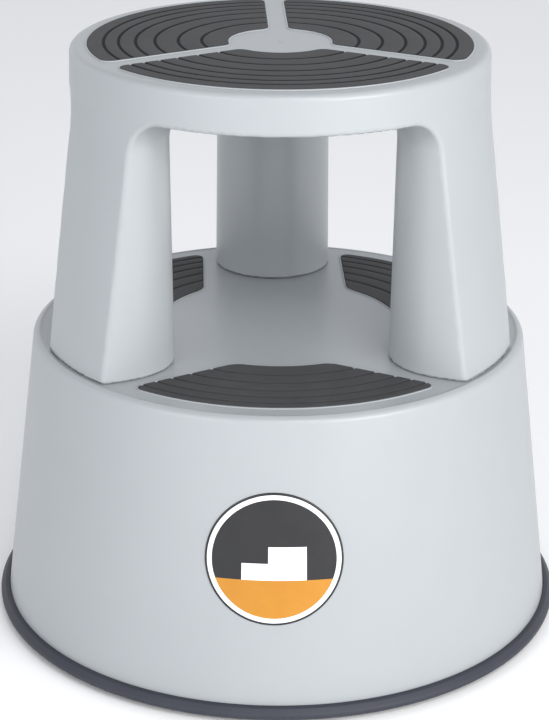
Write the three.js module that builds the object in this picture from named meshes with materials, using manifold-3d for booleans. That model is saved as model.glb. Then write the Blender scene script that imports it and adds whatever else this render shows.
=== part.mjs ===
// Kick step stool: a two-step stool that rolls on three sprung castors and
// settles on its rubber ring when somebody stands on it.
// Units are millimetres, +Z is up, the origin is on the floor under the middle.
import * as THREE from 'three';
import { mergeVertices } from 'three/addons/utils/BufferGeometryUtils.js';
import Module from 'manifold-3d';

const wasm = await Module();
wasm.setup();

// ---- driving sizes ---------------------------------------------------------
const GAP = 0.3;              // clearance where two pieces meet
const ROUND = 60;             // facets in the big round pieces
const GROOVE_ROUND = 48;      // facets in the pad grooves
const SMALL_ROUND = 14;       // facets in the small turned pieces
const WHEEL_ROUND = 20;       // facets in a wheel

const LEG_ANGLES = { rear: 90, left: 210, right: 330 };
const PAD_ANGLES = { front: 270, right: 30, left: 150 };

const DECK = {
  plateZ: 429,                // flat top of the moulding
  hollowZ: 423.5,             // underside of the top plate
  soffitZ: 400.5,             // underside of the deck between the legs
  rimR: 148.4,
  rimRound: 4.5,
  skirtR: 149.3,              // skirt radius at the soffit
  wall: 3.8,
};

const LEG = {
  footZ: 217.3,
  footR: 173.85,              // outer face radius at the foot
  centre: 140,                // radial place of the rounded inner side's centre
  roundFoot: 44.9,            // radius of that rounded side at the foot
  roundTop: 43.0,
  taper: 0.134,               // how fast the sides close in towards the outer face
  fillet: 22,                 // flare into the soffit
  edge: 2.5,                  // softening of the two outer edges
  hooks: [{ angle: -8.3, width: 17.6 }, { angle: 4.9, width: 6.4 }],
};

const BASE = {
  stepZ: 217,
  plateZ: 211.8,              // underside of the step plate
  bottomZ: 7.6,
  bottomR: 206.6,
  rimR: 181,
  rimZ: 214,
  wall: 4,
};

const RING = { bottomZ: 4, topZ: 13.4, outerR: 213, innerR: 197.6 };

const TOP_PAD = { topZ: 430, bottomZ: 427, innerR: 37.5, outerR: 135.5, side: 8, corner: 5,
  grooves: [55.5, 72, 88.4, 102, 114, 124.5] };
const STEP_PAD = { topZ: 218.2, bottomZ: 215.2, innerR: 90, outerR: 162.5, side: 56, corner: 5,
  grooves: [106, 120.5, 134, 145.5, 156] };
const GROOVE = { width: 1.6, depth: 1.1 };

const LABEL = { angle: 267.3, z: 119, radius: 47.5, thickness: 0.4 };

const CASTOR = {
  radius: 140,                // castor axis from the stool's axis
  wheelR: 20,
  wheelInner: 7.8,            // wheel faces, measured from the castor's middle
  wheelOuter: 17,
  trail: 14,                  // axle behind the swivel axis
  axleR: 2.5,
  stemR: 4,
  bore: 0.4,                  // radial clearance of running bores
  stemBottom: 28,
  stemTop: 106,
  forkTop: 44,
  collarR: 8.5,
  collarTop: 47.9,
  springTop: 72,
  springR: 6.8,
  springWire: 0.9,
  springTurns: 4.5,
  housingBottom: 72.3,
  shoulder: 100,              // inside the housing, where the clip stops
  flangeBottom: 110,
  flangeTop: 114,
  bossBottom: 114.3,
  bossR: 14,
  bossBore: 10,
  screwSide: 19,              // screws left and right of the castor axis
};

// ---- materials -------------------------------------------------------------
function material(name, colour, roughness, metalness) {
  const made = new THREE.MeshStandardMaterial({ color: colour, roughness, metalness });
  made.name = name;
  return made;
}
const SHELL = material('shell_plastic', 0xc9cdd3, 0.55, 0);
const PAD = material('pad_rubber', 0x4b4c50, 0.85, 0);
const BUMPER = material('ring_rubber', 0x45474f, 0.8, 0);
const PRINT = material('label_print', 0xd9a441, 0.5, 0);
const BLACK = material('castor_plastic', 0x2a2b2e, 0.6, 0);
const WHEEL = material('wheel_plastic', 0x3a3b3e, 0.65, 0);
const STEEL = material('zinc_steel', 0xb4b7bb, 0.4, 1);

// ---- solids ----------------------------------------------------------------
function signedVolume(position, index) {
  const a = new THREE.Vector3();
  const b = new THREE.Vector3();
  const c = new THREE.Vector3();
  let sum = 0;
  for (let i = 0; i < index.length; i += 3) {
    a.fromArray(position, index[i] * 3);
    b.fromArray(position, index[i + 1] * 3);
    c.fromArray(position, index[i + 2] * 3);
    sum += a.dot(b.cross(c)) / 6;
  }
  return sum;
}

// Turns a closed surface into a solid, facing outwards.
function solid(geometry) {
  const bare = geometry.clone();
  bare.deleteAttribute('normal');
  bare.deleteAttribute('uv');
  const merged = mergeVertices(bare, 1e-4);
  const position = merged.attributes.position.array;
  const index = merged.index.array;
  const kept = [];
  for (let i = 0; i < index.length; i += 3) {
    const [a, b, c] = [index[i], index[i + 1], index[i + 2]];
    if (a !== b && b !== c && c !== a) kept.push(a, b, c);
  }
  if (signedVolume(position, kept) < 0) kept.reverse();
  const mesh = new wasm.Mesh({
    numProp: 3,
    vertProperties: new Float32Array(position),
    triVerts: new Uint32Array(kept),
  });
  return new wasm.Manifold(mesh);
}

function union(solids) {
  return solids.reduce((sum, next) => sum.add(next));
}

function turnAboutZ(body, degrees) {
  return body.rotate([0, 0, degrees]);
}

// Solid of revolution about Z from [radius, z] points; a ring closes on itself.
function lathe(profile, segments) {
  const points = profile.map(([r, z]) => new THREE.Vector2(r, z));
  const onAxis = profile[0][0] === 0 && profile[profile.length - 1][0] === 0;
  if (!onAxis) points.push(points[0].clone());
  const geometry = new THREE.LatheGeometry(points, segments);
  geometry.rotateX(Math.PI / 2);
  return solid(geometry);
}

function cylinder(radius, z0, z1, segments = SMALL_ROUND) {
  return lathe([[0, z0], [radius, z0], [radius, z1], [0, z1]], segments);
}

// Straight prism from an [x, y] outline, standing between two heights.
function prism(outline, z0, z1) {
  const shape = new THREE.Shape(outline.map(([x, y]) => new THREE.Vector2(x, y)));
  const geometry = new THREE.ExtrudeGeometry(shape, { depth: z1 - z0, bevelEnabled: false });
  geometry.translate(0, 0, z0);
  return solid(geometry);
}

// Plate from a [radial, z] outline, standing upright, `width` wide about y = 0.
function uprightPlate(outline, width) {
  const shape = new THREE.Shape(outline.map(([x, z]) => new THREE.Vector2(x, z)));
  const geometry = new THREE.ExtrudeGeometry(shape, { depth: width, bevelEnabled: false });
  geometry.translate(0, 0, -width / 2);
  geometry.rotateX(Math.PI / 2);
  return solid(geometry);
}

// Skin over a stack of rings with equal point counts, closed at both ends.
function loft(rings) {
  const count = rings[0].length;
  const position = rings.flat(2);
  const index = [];
  for (let k = 0; k + 1 < rings.length; k += 1) {
    for (let i = 0; i < count; i += 1) {
      const j = (i + 1) % count;
      const low = k * count;
      const high = low + count;
      index.push(low + i, low + j, high + j, low + i, high + j, high + i);
    }
  }
  const last = (rings.length - 1) * count;
  for (let i = 1; i + 1 < count; i += 1) {
    index.push(0, i + 1, i);
    index.push(last, last + i, last + i + 1);
  }
  const geometry = new THREE.BufferGeometry();
  geometry.setAttribute('position', new THREE.Float32BufferAttribute(position, 3));
  geometry.setIndex(index);
  return solid(geometry);
}

// Points of a soft corner from a to c, pulled towards b.
function softCorner(a, b, c, steps) {
  const points = [];
  for (let i = 0; i <= steps; i += 1) {
    const t = i / steps;
    const s = 1 - t;
    points.push([0, 1].map((k) => s * s * a[k] + 2 * s * t * b[k] + t * t * c[k]));
  }
  return points;
}

function polar(radius, angle) {
  return [radius * Math.cos(angle), radius * Math.sin(angle)];
}

// ---- pads ------------------------------------------------------------------
// Outline centred on the +X direction. Its sides run parallel to the two legs
// beside it, `side` away from the middle line of each.
function padOutline(pad, grow) {
  const inner = pad.innerR - grow;
  const outer = pad.outerR + grow;
  const side = pad.side - grow;
  const corner = pad.corner + grow;
  const halfAngle = (radius) => Math.PI / 3 - Math.asin(side / radius);
  const outerCorner = polar(outer, halfAngle(outer));
  const innerCorner = polar(inner, halfAngle(inner));
  const length = Math.hypot(outerCorner[0] - innerCorner[0], outerCorner[1] - innerCorner[1]);
  const along = (distance) => [0, 1].map(
    (k) => outerCorner[k] + (innerCorner[k] - outerCorner[k]) * distance / length);

  const half = [];
  const outerEnd = halfAngle(outer) - corner / outer;
  const outerSteps = Math.ceil(outerEnd / (2 * Math.PI / ROUND));
  for (let i = 0; i < outerSteps; i += 1) half.push(polar(outer, outerEnd * i / outerSteps));
  half.push(...softCorner(polar(outer, outerEnd), outerCorner, along(corner), 3));
  const innerEnd = halfAngle(inner) - corner / inner;
  half.push(...softCorner(along(length - corner), innerCorner, polar(inner, innerEnd), 3));
  const innerSteps = Math.max(2, Math.ceil(innerEnd / (4 * Math.PI / ROUND)));
  for (let i = innerSteps - 1; i >= 0; i -= 1) half.push(polar(inner, innerEnd * i / innerSteps));

  const mirrored = half.slice(1, -1).reverse().map(([x, y]) => [x, -y]);
  return [...half, ...mirrored];
}

function makePad(pad, angle) {
  let body = prism(padOutline(pad, 0), pad.bottomZ, pad.topZ);
  for (const radius of pad.grooves) {
    const groove = lathe([
      [radius - GROOVE.width / 2, pad.topZ + 0.5],
      [radius, pad.topZ - GROOVE.depth],
      [radius + GROOVE.width / 2, pad.topZ + 0.5],
    ], GROOVE_ROUND);
    body = body.subtract(groove);
  }
  return turnAboutZ(body, angle);
}

function padRecess(pad, angle) {
  return turnAboutZ(prism(padOutline(pad, GAP), pad.bottomZ - GAP, pad.topZ + 5), angle);
}

// ---- upper shell: deck and three hollow legs in one moulding -----------------
function legFaceRadius(z) {
  const share = (z - LEG.footZ) / (DECK.soffitZ - LEG.footZ);
  return LEG.footR + (DECK.skirtR - LEG.footR) * share;
}

function legRoundRadius(z) {
  const share = (z - LEG.footZ) / (DECK.soffitZ - LEG.footZ);
  return LEG.roundFoot + (LEG.roundTop - LEG.roundFoot) * share;
}

// One closed ring of a leg standing out along +X: a rounded inner side, two
// nearly straight sides and an outer face that lies on the stool's cone.
function legRing(z, grow, faceR, edge) {
  const round = legRoundRadius(z) + grow;
  const quarter = round * Math.PI / 2;
  const pathPoint = (s) => {
    if (s < quarter) {
      return [LEG.centre - round * Math.cos(s / round), round * Math.sin(s / round)];
    }
    return [LEG.centre + (s - quarter), round - (s - quarter) * LEG.taper];
  };
  let low = 0;
  let high = quarter + 60;
  for (let i = 0; i < 40; i += 1) {
    const middle = (low + high) / 2;
    if (Math.hypot(...pathPoint(middle)) < faceR) low = middle;
    else high = middle;
  }
  const corner = pathPoint(low);
  const cornerAngle = Math.atan2(corner[1], corner[0]);
  const sideSteps = 7;
  const faceSteps = 3;
  const half = [];
  for (let i = 0; i < sideSteps; i += 1) half.push(pathPoint((low - edge) * i / sideSteps));
  const faceEnd = cornerAngle - edge / faceR;
  half.push(...softCorner(pathPoint(low - edge), corner, polar(faceR, faceEnd), 2));
  for (let i = faceSteps - 1; i >= 0; i -= 1) half.push(polar(faceR, faceEnd * i / faceSteps));
  const mirrored = half.slice(1, -1).reverse().map(([x, y]) => [x, -y]);
  return [...half, ...mirrored].map(([x, y]) => [x, y, z]);
}

// Leg filled solid, drawn `wall` inside its real surface.
function legBody(wall, footZ) {
  const flareStart = DECK.soffitZ - LEG.fillet;
  const flareRadius = LEG.fillet + wall;
  const rings = [legRing(footZ, -wall, legFaceRadius(footZ) - wall, LEG.edge)];
  const flareSteps = 4;
  for (let i = 0; i <= flareSteps; i += 1) {
    const turn = i / flareSteps * Math.PI / 2;
    const z = flareStart + flareRadius * Math.sin(turn);
    const grow = LEG.fillet - flareRadius * Math.cos(turn);
    const edge = LEG.edge - (LEG.edge - 0.4) * i / flareSteps;
    rings.push(legRing(z, grow, legFaceRadius(z) - wall, edge));
  }
  const topZ = flareStart + flareRadius + 1;
  rings.push(legRing(topZ, LEG.fillet, legFaceRadius(topZ) - wall - 1, 0.4));
  return loft(rings);
}

// Snap hook that reaches from a leg's foot through its slot in the step.
function hook({ width }) {
  const inner = LEG.footR - 3.6;
  const outer = inner + 2.7;
  const catchZ = BASE.plateZ - GAP;
  return uprightPlate([
    [inner, LEG.footZ + 5],
    [inner, catchZ - 5.2],
    [outer - 0.6, catchZ - 5.2],
    [outer + 1.7, catchZ - 1.6],
    [outer + 1.7, catchZ],
    [outer, catchZ],
    [outer, LEG.footZ + 5],
  ], width);
}

function hookSlot({ width }) {
  const inner = LEG.footR - 4;
  return uprightPlate([
    [inner, BASE.plateZ - 1],
    [inner + 4.0, BASE.plateZ - 1],
    [inner + 4.0, BASE.stepZ + 1],
    [inner, BASE.stepZ + 1],
  ], width + 1);
}

function makeUpperShell() {
  const round = DECK.rimRound;
  const rim = [];
  for (let i = 0; i <= 3; i += 1) {
    const turn = i / 3 * Math.PI / 2;
    rim.push([
      DECK.rimR - round + round * Math.cos(turn),
      DECK.plateZ - round + round * Math.sin(turn),
    ]);
  }
  let body = lathe([
    [0, DECK.soffitZ],
    [DECK.skirtR - 0.8, DECK.soffitZ],
    [DECK.skirtR, DECK.soffitZ + 0.8],
    ...rim,
    [0, DECK.plateZ],
  ], ROUND);
  let hollow = cylinder(DECK.rimR - DECK.wall, DECK.soffitZ + DECK.wall, DECK.hollowZ, ROUND);
  for (const angle of Object.values(LEG_ANGLES)) {
    body = body.add(turnAboutZ(legBody(0, LEG.footZ), angle));
    hollow = hollow.add(turnAboutZ(legBody(DECK.wall, LEG.footZ - 1), angle));
  }
  body = body.subtract(hollow);
  for (const angle of Object.values(LEG_ANGLES)) {
    for (const one of LEG.hooks) body = body.add(turnAboutZ(hook(one), angle + one.angle));
  }
  for (const angle of Object.values(PAD_ANGLES)) {
    body = body.subtract(padRecess(TOP_PAD, angle));
  }
  return body;
}

// ---- base shell: step plate, cone wall and the castor bosses -----------------
function wallRadius(z) {
  const share = (z - BASE.bottomZ) / (BASE.rimZ - BASE.bottomZ);
  return BASE.bottomR + (BASE.rimR - BASE.bottomR) * share;
}

// Boss under one leg: a tube for the castor stem, two screw lugs and its ribs.
function castorBoss() {
  const { bossBottom, bossR, bossBore, screwSide, radius } = CASTOR;
  const top = BASE.plateZ + 1;
  const place = (body, side) => body.translate([radius, side, 0]);
  const parts = [
    place(cylinder(bossR, bossBottom, top, SMALL_ROUND), 0),
    uprightPlate([
      [radius + bossR - 2, bossBottom + 4],
      [wallRadius(bossBottom + 4) - 2, bossBottom + 4],
      [wallRadius(top) - 2, top],
      [radius + bossR - 2, top],
    ], 3),
    uprightPlate([
      [radius - bossR + 2, 150],
      [radius - bossR + 2, top],
      [60, top],
      [60, 196],
    ], 3),
  ];
  for (const side of [-screwSide, screwSide]) {
    parts.push(place(cylinder(5.5, bossBottom, top, 12), side));
    parts.push(prism([
      [radius - 1.5, Math.min(side, 0)],
      [radius + 1.5, Math.min(side, 0)],
      [radius + 1.5, Math.max(side, 0)],
      [radius - 1.5, Math.max(side, 0)],
    ], bossBottom, top));
  }
  let boss = union(parts);
  boss = boss.subtract(place(cylinder(bossBore, bossBottom - 1, BASE.plateZ - 6), 0));
  for (const side of [-screwSide, screwSide]) {
    boss = boss.subtract(place(cylinder(2.3, bossBottom - 1, bossBottom + 14, 12), side));
  }
  return boss;
}

function makeBaseShell() {
  const { bottomZ, bottomR, rimR, rimZ, stepZ, plateZ, wall } = BASE;
  let body = lathe([
    [0, plateZ],
    [rimR - 5.5, plateZ],
    [wallRadius(208.5) - wall, 208.5],
    [bottomR - wall, bottomZ],
    [bottomR, bottomZ],
    [rimR, rimZ],
    [rimR - 0.7, rimZ + 2.6],
    [rimR - 2.6, rimZ + 4],
    [rimR - 5.2, stepZ],
    [0, stepZ],
  ], ROUND);
  body = body.add(lathe([[58, 196], [61, 196], [61, plateZ + 1], [58, plateZ + 1]], 36));
  for (const angle of Object.values(LEG_ANGLES)) body = body.add(turnAboutZ(castorBoss(), angle));
  for (const angle of Object.values(PAD_ANGLES)) {
    body = body.subtract(padRecess(STEP_PAD, angle));
  }
  for (const angle of Object.values(LEG_ANGLES)) {
    for (const one of LEG.hooks) {
      body = body.subtract(turnAboutZ(hookSlot(one), angle + one.angle));
    }
  }
  return body;
}

// ---- rubber ring round the foot of the base ----------------------------------
function makeRing() {
  const { bottomZ, topZ, outerR, innerR } = RING;
  const slotFloor = BASE.bottomZ - GAP;
  return lathe([
    [innerR, bottomZ],
    [outerR - 3, bottomZ],
    [outerR, 6.8],
    [outerR, 9.2],
    [outerR - 3, 12.7],
    [wallRadius(topZ) + GAP, topZ],
    [BASE.bottomR + GAP, slotFloor],
    [BASE.bottomR - BASE.wall - GAP, slotFloor],
    [wallRadius(18) - BASE.wall - GAP, 18],
    [innerR, 18],
  ], ROUND);
}

// ---- round label on the front of the base -------------------------------------
function makeLabel() {
  const spokes = 24;
  const radii = [16, 32, LABEL.radius];
  const tilt = Math.atan2(BASE.bottomR - BASE.rimR, BASE.rimZ - BASE.bottomZ);
  const point = (distance, turn, lift) => {
    const z = LABEL.z + distance * Math.sin(turn) * Math.cos(tilt);
    const radius = wallRadius(z);
    const around = distance * Math.cos(turn) / wallRadius(LABEL.z);
    return [...polar(radius + lift, around), z];
  };
  const position = [];
  const index = [];
  for (const lift of [GAP + LABEL.thickness, GAP]) {
    position.push(...point(0, 0, lift));
    for (const distance of radii) {
      for (let i = 0; i < spokes; i += 1) {
        position.push(...point(distance, i / spokes * 2 * Math.PI, lift));
      }
    }
  }
  const layer = 1 + radii.length * spokes;
  for (let side = 0; side < 2; side += 1) {
    const start = side * layer;
    const face = (a, b, c) => index.push(...(side === 0 ? [a, b, c] : [a, c, b]));
    for (let i = 0; i < spokes; i += 1) {
      const j = (i + 1) % spokes;
      face(start, start + 1 + i, start + 1 + j);
      for (let k = 0; k + 1 < radii.length; k += 1) {
        const low = start + 1 + k * spokes;
        const high = low + spokes;
        face(low + i, high + i, high + j);
        face(low + i, high + j, low + j);
      }
    }
  }
  const outerEdge = 1 + (radii.length - 1) * spokes;
  for (let i = 0; i < spokes; i += 1) {
    const j = (i + 1) % spokes;
    const [a, b] = [outerEdge + i, outerEdge + j];
    index.push(a, a + layer, b + layer, a, b + layer, b);
  }
  const geometry = new THREE.BufferGeometry();
  geometry.setAttribute('position', new THREE.Float32BufferAttribute(position, 3));
  geometry.setIndex(index);
  return turnAboutZ(solid(geometry), LABEL.angle);
}

// ---- castor pieces, drawn with the swivel axis on Z and the trail along +X ------
function makeHousing() {
  const { housingBottom, flangeBottom, flangeTop, shoulder, stemR, bore, screwSide } = CASTOR;
  const parts = [
    lathe([
      [0, housingBottom],
      [10.5, housingBottom],
      [12, housingBottom + 1.5],
      [13, flangeTop - 0.5],
      [0, flangeTop - 0.5],
    ], SMALL_ROUND),
    cylinder(14.5, flangeBottom, flangeTop, SMALL_ROUND),
    prism([[-6.5, -screwSide], [6.5, -screwSide], [6.5, screwSide], [-6.5, screwSide]],
      flangeBottom, flangeTop),
  ];
  for (const side of [-screwSide, screwSide]) {
    parts.push(cylinder(6.5, flangeBottom, flangeTop, 16).translate([0, side, 0]));
  }
  let body = union(parts);
  body = body.subtract(cylinder(stemR + bore, housingBottom - 1, flangeTop + 1));
  body = body.subtract(cylinder(9, shoulder, flangeTop + 1));
  for (const side of [-screwSide, screwSide]) {
    body = body.subtract(cylinder(2.4, flangeBottom - 1, flangeTop + 1, 12)
      .translate([0, side, 0]));
  }
  return body;
}

function makeScrew() {
  const head = CASTOR.flangeBottom - GAP;
  return lathe([
    [0, head - 2.2],
    [3, head - 2],
    [4, head],
    [2, head],
    [2, head + 15.6],
    [0, head + 16.6],
  ], 10);
}

function makeSpring() {
  const { springR, springWire, springTurns, springTop, collarTop } = CASTOR;
  class Helix extends THREE.Curve {
    getPoint(t) {
      const turn = t * springTurns * 2 * Math.PI;
      const low = collarTop + GAP + springWire;
      const high = springTop - springWire;
      return new THREE.Vector3(...polar(springR, turn), low + (high - low) * t);
    }
  }
  const wire = new THREE.Shape();
  for (let i = 0; i < 5; i += 1) {
    const [x, y] = polar(springWire, i / 5 * 2 * Math.PI);
    if (i === 0) wire.moveTo(x, y);
    else wire.lineTo(x, y);
  }
  const geometry = new THREE.ExtrudeGeometry(wire, {
    steps: Math.round(springTurns * 10),
    extrudePath: new Helix(),
    bevelEnabled: false,
  });
  return solid(geometry);
}

function makeStem() {
  const { stemR, stemBottom, stemTop, forkTop, collarR, collarTop, shoulder } = CASTOR;
  return lathe([
    [0, stemBottom],
    [stemR, stemBottom],
    [stemR, forkTop + GAP],
    [collarR, forkTop + GAP],
    [collarR, collarTop],
    [stemR, collarTop],
    [stemR, shoulder],
    [stemR - 0.8, shoulder],
    [stemR - 0.8, shoulder + 1.6],
    [stemR, shoulder + 1.6],
    [stemR, stemTop - 0.8],
    [stemR - 0.8, stemTop],
    [0, stemTop],
  ], SMALL_ROUND);
}

// Open spring clip in the stem's groove; it stops the stem from dropping out.
function makeClip() {
  const outline = [];
  const steps = 12;
  const start = rad(35);
  const sweep = 2 * Math.PI - 2 * start;
  for (let i = 0; i <= steps; i += 1) outline.push(polar(7.2, start + sweep * i / steps));
  for (let i = steps; i >= 0; i -= 1) outline.push(polar(3.55, start + sweep * i / steps));
  return prism(outline, CASTOR.shoulder + GAP, CASTOR.shoulder + 1.3);
}

function makeFork() {
  const { trail, wheelR, forkTop, stemR, bore, stemBottom, axleR } = CASTOR;
  const width = 14;
  const arm = uprightPlate([
    [-7, forkTop - 3],
    [5, forkTop - 3],
    [trail - 1, wheelR + 13],
    [trail + 6.5, wheelR + 6],
    [trail + 8, wheelR],
    [trail + 6, wheelR - 6],
    [trail, wheelR - 8],
    [trail - 6, wheelR - 6],
    [-2, stemBottom - 4],
    [-7, stemBottom],
  ], width);
  const boss = cylinder(7.4, stemBottom - 2, forkTop);
  let body = arm.add(boss);
  body = body.subtract(cylinder(stemR + bore, stemBottom - bore, forkTop + 1));
  const axleHole = cylinder(axleR + bore, -width, width, 12).rotate([90, 0, 0])
    .translate([trail, 0, wheelR]);
  return body.subtract(axleHole);
}

function onAxle(body) {
  return body.rotate([90, 0, 0]).translate([CASTOR.trail, 0, CASTOR.wheelR]);
}

function makeAxle() {
  const { axleR, wheelOuter } = CASTOR;
  const head = wheelOuter + GAP;
  return onAxle(lathe([
    [0, -head - 1],
    [3.2, -head - 1],
    [4.2, -head],
    [axleR, -head],
    [axleR, head],
    [4.2, head],
    [3.2, head + 1],
    [0, head + 1],
  ], 12));
}

function makeWheel(side) {
  const { axleR, bore, wheelR, wheelInner, wheelOuter } = CASTOR;
  const profile = [
    [axleR + bore, wheelInner],
    [wheelR - 1.5, wheelInner],
    [wheelR, wheelInner + 2.2],
    [wheelR, wheelOuter - 2.2],
    [wheelR - 1.5, wheelOuter],
    [wheelR - 5, wheelOuter],
    [wheelR - 6, wheelOuter - 1.6],
    [6, wheelOuter - 1.6],
    [5.2, wheelOuter],
    [axleR + bore, wheelOuter],
  ];
  return onAxle(lathe(profile.map(([r, y]) => [r, y * side]), WHEEL_ROUND));
}

// ---- assembly --------------------------------------------------------------
function rad(degrees) {
  return degrees * Math.PI / 180;
}

const group = new THREE.Group();
group.name = 'kick_step_stool';

function place(name, body, look) {
  const { vertProperties, triVerts } = body.getMesh();
  const geometry = new THREE.BufferGeometry();
  geometry.setAttribute('position', new THREE.BufferAttribute(new Float32Array(vertProperties), 3));
  geometry.setIndex(new THREE.BufferAttribute(new Uint32Array(triVerts), 1));
  geometry.computeVertexNormals();
  const mesh = new THREE.Mesh(geometry, look);
  mesh.name = name;
  group.add(mesh);
}

place('upper_shell', makeUpperShell(), SHELL);
place('base_shell', makeBaseShell(), SHELL);
place('base_ring', makeRing(), BUMPER);
place('front_label', makeLabel(), PRINT);
for (const [name, angle] of Object.entries(PAD_ANGLES)) {
  place(`top_pad_${name}`, makePad(TOP_PAD, angle), PAD);
  place(`step_pad_${name}`, makePad(STEP_PAD, angle), PAD);
}

const castorPieces = [
  ['housing', makeHousing(), BLACK],
  ['screw_1', makeScrew().translate([0, -CASTOR.screwSide, 0]), STEEL],
  ['screw_2', makeScrew().translate([0, CASTOR.screwSide, 0]), STEEL],
  ['spring', makeSpring(), STEEL],
  ['stem', makeStem(), STEEL],
  ['clip', makeClip(), STEEL],
  ['fork', makeFork(), BLACK],
  ['axle', makeAxle(), STEEL],
  ['wheel_1', makeWheel(-1), WHEEL],
  ['wheel_2', makeWheel(1), WHEEL],
];
for (const [name, angle] of Object.entries(LEG_ANGLES)) {
  for (const [piece, body, look] of castorPieces) {
    const placed = turnAboutZ(body.translate([CASTOR.radius, 0, 0]), angle);
    place(`castor_${name}_${piece}`, placed, look);
  }
}

export default group;
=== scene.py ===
import math

import bmesh
import bpy
import numpy as np
from mathutils import Matrix, Vector


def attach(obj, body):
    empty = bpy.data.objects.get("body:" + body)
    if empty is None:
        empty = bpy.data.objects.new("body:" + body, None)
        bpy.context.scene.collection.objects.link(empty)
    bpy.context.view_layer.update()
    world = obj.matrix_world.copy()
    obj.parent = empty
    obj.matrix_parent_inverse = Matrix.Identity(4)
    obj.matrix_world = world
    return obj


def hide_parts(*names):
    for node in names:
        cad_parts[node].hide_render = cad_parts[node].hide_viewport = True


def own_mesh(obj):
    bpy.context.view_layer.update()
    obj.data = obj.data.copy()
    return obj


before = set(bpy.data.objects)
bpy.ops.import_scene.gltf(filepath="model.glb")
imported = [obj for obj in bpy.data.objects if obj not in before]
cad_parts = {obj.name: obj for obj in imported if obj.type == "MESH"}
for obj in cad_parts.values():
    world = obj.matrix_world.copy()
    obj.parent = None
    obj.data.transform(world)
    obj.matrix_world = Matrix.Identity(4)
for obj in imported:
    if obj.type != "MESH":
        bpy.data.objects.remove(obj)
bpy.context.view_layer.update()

# ---------------------------------------------------------------- sizes, in mm
LEG_ANGLES = {"rear": 90, "left": 210, "right": 330}
PAD_ANGLES = {"front": 270, "right": 30, "left": 150}

DECK_Z = 429.0          # flat top of the upper moulding
SOFFIT_Z = 400.5        # underside of the deck
RIM_R = 148.5
RIM_ROUND = 4.6
SKIRT_R = 149.3
LEG_FOOT_Z = 217.3
LEG_FOOT_R = 173.85
LEG_CENTRE = 140.0
LEG_ROUND_FOOT = 44.9
LEG_ROUND_TOP = 43.0
LEG_CLOSING = 0.0046    # how the sides draw in towards the outer face
LEG_FLARE = 22.0
EDGE_ROUND = 2.6
NET_STEP = 2.5          # cell of the grid that meshes the upper moulding

STEP_Z = 217.0
STEP_UNDER_Z = 211.8
BASE_BOTTOM_Z = 7.6
BASE_BOTTOM_R = 206.6
BASE_RIM_R = 181.0
BASE_RIM_Z = 214.0       # where the straight wall reaches that radius
BASE_WALL = 4.0
SLOT_R = (169.85, 173.85)
HOOKS = ((-8.3, 17.6), (4.9, 6.4))      # angle from the leg's middle, width

TOP_PAD = {"top": 430.0, "bottom": 429.05, "inner": 37.5, "outer": 135.5, "side": 8.0,
           "corner": 5.0, "tip": 8.0, "grooves": (55.5, 72.0, 88.4, 102.0, 114.0, 124.5)}
STEP_PAD = {"top": 218.1, "bottom": 217.05, "inner": 90.0, "outer": 162.5, "side": 56.0,
            "corner": 5.0, "tip": 8.0, "grooves": (106.0, 120.5, 134.0, 145.5, 156.0)}
GROOVE_HALF = 1.6
GROOVE_DEPTH = 0.9
NOTCH = 0.3             # how far a groove cuts into the pad's straight side

LIP = {"gap": 1.15, "width": 1.3, "height": 0.75}     # raised line round each pad

BOSS_BOTTOM = 114.3
GUIDE_RING = (58, 61, 196)      # inner and outer radius and lower edge
NET_LOW = (-178, -178, 213)     # the box in which the upper moulding is meshed
NET_HIGH = (178, 178, 433)

LABEL_ANGLE = 267.3
LABEL_Z = 119.0
LABEL_R = 47.5
LABEL_EDGE = 1.6        # dark outer line
LABEL_BAND = 4.9        # inner side of the white line, from the outer edge
HORIZON = -15           # lines of the pictogram, up and across
STEP_LINES = (-3, 9)
STEP_SIDES = (-22, -4, 22)

CASTOR_R = 140.0
TRAIL = 14.0
WHEEL_R = 20.0
SPRING_LOW = 48.2
SPRING_TOP = 72.0


# ---------------------------------------------------------------- mesh helpers
def mesh_object(name, verts, faces, materials, normals=None, sharp=None, face_slots=None):
    """A new object from points in mm."""
    mesh = bpy.data.meshes.new(name)
    mesh.from_pydata([tuple(p) for p in np.asarray(verts, float) * 0.001], [], faces)
    mesh.validate()
    if normals is None:
        face_out(mesh)
    mesh.update()
    for one in materials:
        mesh.materials.append(one)
    if face_slots is not None:
        mesh.polygons.foreach_set("material_index", face_slots)
    mesh.polygons.foreach_set("use_smooth", [True] * len(mesh.polygons))
    if normals is not None:
        mesh.normals_split_custom_set_from_vertices(normals)
    elif sharp is not None:
        mesh.set_sharp_from_angle(angle=math.radians(sharp))
    obj = bpy.data.objects.new(name, mesh)
    bpy.context.scene.collection.objects.link(obj)
    return obj


def face_out(mesh):
    """Turns every face outwards."""
    work = bmesh.new()
    work.from_mesh(mesh)
    bmesh.ops.recalc_face_normals(work, faces=work.faces[:])
    work.to_mesh(mesh)
    work.free()


def piece(obj, body, nodes):
    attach(obj, body)
    if nodes:
        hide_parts(*nodes)
    return obj


class Shape:
    """Collects points and faces of one piece."""

    def __init__(self):
        self.verts = []
        self.faces = []

    def add(self, verts, faces, matrix=None):
        start = len(self.verts)
        verts = [Vector(p) for p in verts]
        if matrix is not None:
            verts = [matrix @ p for p in verts]
        self.verts += [tuple(p) for p in verts]
        self.faces += [tuple(start + i for i in face) for face in faces]
        return self


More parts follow.
